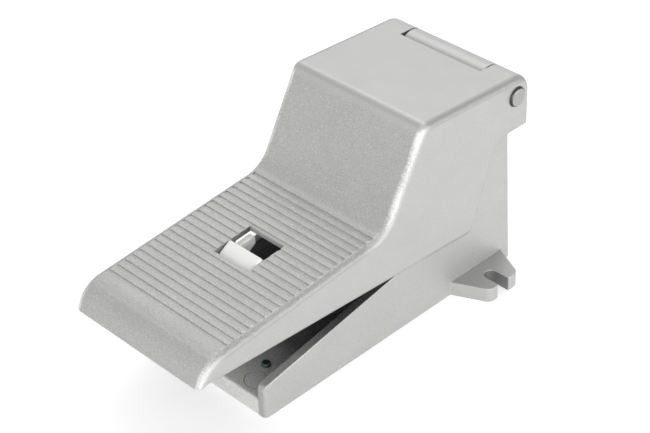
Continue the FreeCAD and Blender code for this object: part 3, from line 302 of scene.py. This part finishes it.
pin_steel = Finish("pin_steel")
on_end_face = (abs(pin_steel.faces()[0]) - 0.86).ramp(12.0)
pin_steel.set(Base_Color=pin_steel.tint(on_end_face, (0.09, 0.09, 0.09), (0.46, 0.46, 0.455)),
              Metallic=1.0, Roughness=0.3)
wear(("hinge_pin",), pin_steel)


# Floor plugs
# Two small driven plugs close holes in the floor of the tray. They are blackened steel.

black_oxide = Finish("black_oxide")
black_oxide.set(Base_Color=(0.16, 0.19, 0.175), Metallic=1.0, Roughness=0.3)
wear(("floor_plugs",), black_oxide)


# Hinge washers and push button
# Both are dark bearing plastic: the washers lie between ears and knuckle, and the button sits on
# the stem of the spool, under the thrust pad.

bearing_plastic = Finish("bearing_plastic")
bearing_plastic.set(Base_Color=(0.045, 0.045, 0.045), Roughness=0.5)
wear(("hinge_washers", "push_button"), bearing_plastic)


# Spool, seals and brass end pieces
# The spool is turned from aluminium and runs in nitrile rings. The gland nut above it and the
# bottom cap below it are turned brass.

spool_metal = Finish("spool_metal")
spool_metal.set(Base_Color=(0.72, 0.72, 0.73), Metallic=1.0, Roughness=0.3)
wear(("spool",), spool_metal)

nitrile = Finish("nitrile")
nitrile.set(Base_Color=(0.02, 0.02, 0.02), Roughness=0.55)
wear(("spool_seals", "gland_seal", "cap_seal"), nitrile)

turned_brass = Finish("turned_brass")
brass_place = turned_brass.place()
tool_marks = turned_brass.noise(brass_place, 1400.0, 2.0)
turned_brass.set(Base_Color=(0.66, 0.47, 0.2), Metallic=1.0, Roughness=tool_marks * 0.15 + 0.2)
wear(("gland_nut", "bottom_cap"), turned_brass)


# Springs
# Both are bright spring wire: the return spring under the spool and the torsion spring of the latch.

spring_steel = Finish("spring_steel")
spring_steel.set(Base_Color=(0.45, 0.45, 0.46), Metallic=1.0, Roughness=0.32)
wear(("return_spring", "latch_spring"), spring_steel)


# Return coil
# It stands on the bottom cap; the record says its node scales along z from its seat as the spool comes
# down on it. This copy of the CAD mesh stands for the node on the base and keeps the CAD length.

coil_mesh = valve_nodes["return_spring"].data.copy()
coil_mesh.name = "return_coil"
coil_mesh.materials.clear()
coil_mesh.materials.append(spring_steel.material)
return_coil = bpy.data.objects.new("return_coil", coil_mesh)
bpy.context.scene.collection.objects.link(return_coil)
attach(return_coil, "base")
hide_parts("return_spring")
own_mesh(return_coil)


# Lock latch
# A rocker moulded in glossy white plastic with its cross pin and rings. Its sloping pad fills the
# front half of the window in the tread.

white_plastic = Finish("white_plastic")
white_plastic.set(Base_Color=(0.95, 0.95, 0.94), Roughness=0.38)
wear(("lock_latch",), white_plastic)
wear(("latch_pin", "latch_rings"), ground_steel)


# Catch bracket and its screws
# A strip of zinc-plated steel folded into a hook, held to the tray floor by two slotted screws.

zinc_plate = Finish("zinc_plate")
zinc_place = zinc_plate.place()
spangle = zinc_plate.noise(zinc_place, 300.0, 2.0)
zinc_plate.set(Base_Color=(0.6, 0.61, 0.62), Metallic=1.0, Roughness=spangle * 0.2 + 0.25)
wear(("catch_bracket", "catch_screws"), zinc_plate)


# Port threads
# Each of the five ports in the rear face is tapped with a fine pipe thread, cut here as a ridge
# that winds along the bore just inside its wall.

PORT_RADIUS = 5.72 * MILLIMETRE
THREAD_PITCH = 1.337 * MILLIMETRE
THREAD_LENGTH = 11.5 * MILLIMETRE
THREAD_INSET = 0.6 * MILLIMETRE
RIDGE_SHARE = 0.42


def tree_size(tree, name, value):
    """A named size of a tree, with the value it starts from."""
    tree.interface.new_socket(name, in_out="INPUT", socket_type="NodeSocketFloat").default_value = value


def tree_node(tree, kind, inputs=None, **settings):
    """A node of a tree with its settings and inputs."""
    made = tree.nodes.new(kind)
    for name, value in settings.items():
        setattr(made, name, value)
    for name, value in (inputs or {}).items():
        if isinstance(value, bpy.types.NodeSocket):
            tree.links.new(value, made.inputs[name])
        else:
            made.inputs[name].default_value = value
    return made


def thread_tree(finish):
    """A ridge that winds along a bore, at each point of the geometry that comes in."""
    tree = bpy.data.node_groups.new("tapped_thread", "GeometryNodeTree")
    tree.interface.new_socket("Geometry", in_out="INPUT", socket_type="NodeSocketGeometry")
    tree_size(tree, "Radius", PORT_RADIUS)
    tree_size(tree, "Pitch", THREAD_PITCH)
    tree_size(tree, "Length", THREAD_LENGTH)
    tree.interface.new_socket("Geometry", in_out="OUTPUT", socket_type="NodeSocketGeometry")
    given = tree.nodes.new("NodeGroupInput")
    turns = tree_node(tree, "ShaderNodeMath", {0: given.outputs["Length"], 1: given.outputs["Pitch"]},
                      operation="DIVIDE")
    winding = tree_node(tree, "GeometryNodeCurveSpiral", {
        "Resolution": 40, "Rotations": turns.outputs[0], "Start Radius": given.outputs["Radius"],
        "End Radius": given.outputs["Radius"], "Height": given.outputs["Length"]})
    ridge_radius = tree_node(tree, "ShaderNodeMath", {0: given.outputs["Pitch"], 1: RIDGE_SHARE},
                             operation="MULTIPLY")
    ridge = tree_node(tree, "GeometryNodeCurvePrimitiveCircle",
                      {"Resolution": 3, "Radius": ridge_radius.outputs[0]}, mode="RADIUS")
    cut = tree_node(tree, "GeometryNodeCurveToMesh", {
        "Curve": winding.outputs[0], "Profile Curve": ridge.outputs[0], "Fill Caps": True})
    copies = tree_node(tree, "GeometryNodeInstanceOnPoints", {
        "Points": given.outputs["Geometry"], "Instance": cut.outputs[0],
        "Rotation": (-math.pi / 2, 0.0, 0.0)})
    real = tree_node(tree, "GeometryNodeRealizeInstances", {"Geometry": copies.outputs[0]})
    painted = tree_node(tree, "GeometryNodeSetMaterial", {"Geometry": real.outputs[0],
                                                          "Material": finish.material})
    leave = tree.nodes.new("NodeGroupOutput")
    tree.links.new(painted.outputs[0], leave.inputs[0])
    return tree


def grown(name, places, tree):
    """A plain mesh from a tree that starts at the given places."""
    seed = bpy.data.meshes.new(f"{name}_places")
    seed.from_pydata([tuple(place) for place in places], [], [])
    starter = bpy.data.objects.new(f"{name}_starter", seed)
    bpy.context.scene.collection.objects.link(starter)
    starter.modifiers.new("growth", "NODES").node_group = tree
    evaluated = starter.evaluated_get(bpy.context.evaluated_depsgraph_get())
    shape = bpy.data.meshes.new_from_object(evaluated)
    bpy.data.objects.remove(starter)
    piece = bpy.data.objects.new(name, shape)
    bpy.context.scene.collection.objects.link(piece)
    return piece


tapped_metal = Finish("tapped_metal")
tapped_metal.set(Base_Color=(0.6, 0.6, 0.6), Metallic=1.0, Roughness=0.35)
port_mouths = [Vector(m["pos_m"]) - Vector((0, THREAD_LENGTH + THREAD_INSET, 0))
               for m in frame["record"]["mounts"] if m["kind"] == "threaded_hole"]
port_threads = grown("port_threads", port_mouths, thread_tree(tapped_metal))
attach(port_threads, "base")


# Floor and light
# A plain pale floor under three soft lamps, with a white background all round. Dark flags in the
# sky keep the faces that turn to them from washing out.

FLOOR_TO_EYE = 0.42
FLOOR_TO_MIRROR = 0.26
FLOOR_REACH = 4.0
floor_mesh = bpy.data.meshes.new("studio_floor")
floor_corners = ((-1, -1), (1, -1), (1, 1), (-1, 1))
floor_mesh.from_pydata([(x * FLOOR_REACH, y * FLOOR_REACH, 0) for x, y in floor_corners],
                       [], [(0, 1, 2, 3)])
studio_floor = bpy.data.objects.new("studio_floor", floor_mesh)
bpy.context.scene.collection.objects.link(studio_floor)
pale = Finish("pale_floor")
floor_seen = pale.node("ShaderNodeLightPath").socket.node.outputs
to_eye = Signal(pale, floor_seen["Is Camera Ray"])
to_mirror = Signal(pale, floor_seen["Is Glossy Ray"])
pale.set(Base_Color=(0.86, 0.86, 0.86), Roughness=0.9, Specular_IOR_Level=0.0, Emission_Strength=1.0,
         Emission_Color=pale.scaled((1.0, 1.0, 1.0),
                                    to_eye * FLOOR_TO_EYE + to_mirror * FLOOR_TO_MIRROR))
floor_mesh.materials.append(pale.material)

STUDIO_LEVEL = 0.785
DARK_SIDE = (0.57, 0.56, 0.60)
DARK_ABOVE = (-0.59, -0.24, 0.77)
FLAG_DEPTH = 0.6
FLAG_FULL = 0.95
GLOSSY_SKY = 0.3

studio = bpy.data.worlds.new("studio")
studio.use_nodes = True
bpy.context.scene.world = studio
sky = studio.node_tree
backdrop = sky.nodes["Background"]


def sky_math(operation, first, second):
    """A Math node of the sky."""
    made = sky.nodes.new("ShaderNodeMath")
    made.operation = operation
    for socket, value in zip(made.inputs, (first, second)):
        if isinstance(value, bpy.types.NodeSocket):
            sky.links.new(value, socket)
        else:
            socket.default_value = value
    return made.outputs[0]


seen = sky.nodes.new("ShaderNodeLightPath").outputs
direct = sky_math("MAXIMUM", seen["Is Camera Ray"], seen["Is Transmission Ray"])
sky_place = sky.nodes.new("ShaderNodeTexCoord").outputs["Object"]


def flagged(side, edge):
    """How much a dark flag at a side of the studio takes away."""
    toward = sky.nodes.new("ShaderNodeVectorMath")
    toward.operation = "DOT_PRODUCT"
    sky.links.new(sky_place, toward.inputs[0])
    toward.inputs[1].default_value = side
    past_edge = sky_math("SUBTRACT", toward.outputs["Value"], edge)
    rise = sky_math("MULTIPLY", past_edge, FLAG_DEPTH / (FLAG_FULL - edge))
    return sky_math("MINIMUM", FLAG_DEPTH, sky_math("MAXIMUM", 0.0, rise))


flag = sky_math("ADD", flagged(DARK_SIDE, 0.5), flagged(DARK_ABOVE, 0.82))
soft = sky_math("MULTIPLY", sky_math("SUBTRACT", 1.0, flag), STUDIO_LEVEL)
glossy = sky_math("MULTIPLY", seen["Is Glossy Ray"], sky_math("MULTIPLY", soft, GLOSSY_SKY))
unseen = sky_math("SUBTRACT", 1.0, direct)
level = sky_math("ADD", direct, sky_math("MULTIPLY", unseen, sky_math("ADD", soft, glossy)))
sky.links.new(level, backdrop.inputs["Strength"])
backdrop.inputs["Color"].default_value = (1, 1, 1, 1)


def softbox(name, place, aim, size, power):
    """A square soft lamp at a place, turned to its aim."""
    lamp = bpy.data.lights.new(name, "AREA")
    lamp.shape = "SQUARE"
    lamp.size = size
    lamp.energy = power
    holder = bpy.data.objects.new(name, lamp)
    bpy.context.scene.collection.objects.link(holder)
    way = Vector(aim) - Vector(place)
    holder.matrix_world = Matrix.Translation(place) @ way.to_track_quat("-Z", "Y").to_matrix().to_4x4()


valve_middle = (0.0, -0.07, 0.05)
softbox("right_lamp", (1.15, -0.85, 0.10), valve_middle, 1.2, 15.0)
softbox("side_lamp", (1.7, 0.5, 0.25), valve_middle, 1.2, 12.0)
softbox("top_lamp", (-0.5, 0.6, 1.5), valve_middle, 1.2, 6.5)


# Camera
# It stands in front and to the right, and looks down at the tread.

PHOTO_WIDTH = 650
FOCAL_PIXELS = 1826.4
azimuth, elevation, roll = (math.radians(a) for a in (46.423, 35.716, -2.145))
aim_point = Vector((0.0, -70.95, 41.8))
distance, right_shift, up_shift = 743.6, 10.48, 9.86
back = Vector((math.sin(azimuth) * math.cos(elevation), -math.cos(azimuth) * math.cos(elevation),
               math.sin(elevation)))
right = Vector((math.cos(azimuth), math.sin(azimuth), 0))
up = back.cross(right)
rolled_right = right * math.cos(roll) + up * math.sin(roll)
rolled_up = up * math.cos(roll) - right * math.sin(roll)
stand = aim_point + back * distance + rolled_right * right_shift + rolled_up * up_shift
lens = bpy.data.cameras.new("photo_camera")
lens.sensor_width = 36.0
lens.sensor_fit = "HORIZONTAL"
lens.lens = FOCAL_PIXELS * lens.sensor_width / PHOTO_WIDTH
lens.clip_start = 0.01
camera = bpy.data.objects.new("photo_camera", lens)
bpy.context.scene.collection.objects.link(camera)
turn = Matrix((rolled_right, rolled_up, back)).transposed().to_4x4()
camera.matrix_world = Matrix.Translation(stand * MILLIMETRE) @ turn
bpy.context.scene.camera = camera
bpy.context.scene.view_settings.view_transform = "Standard"
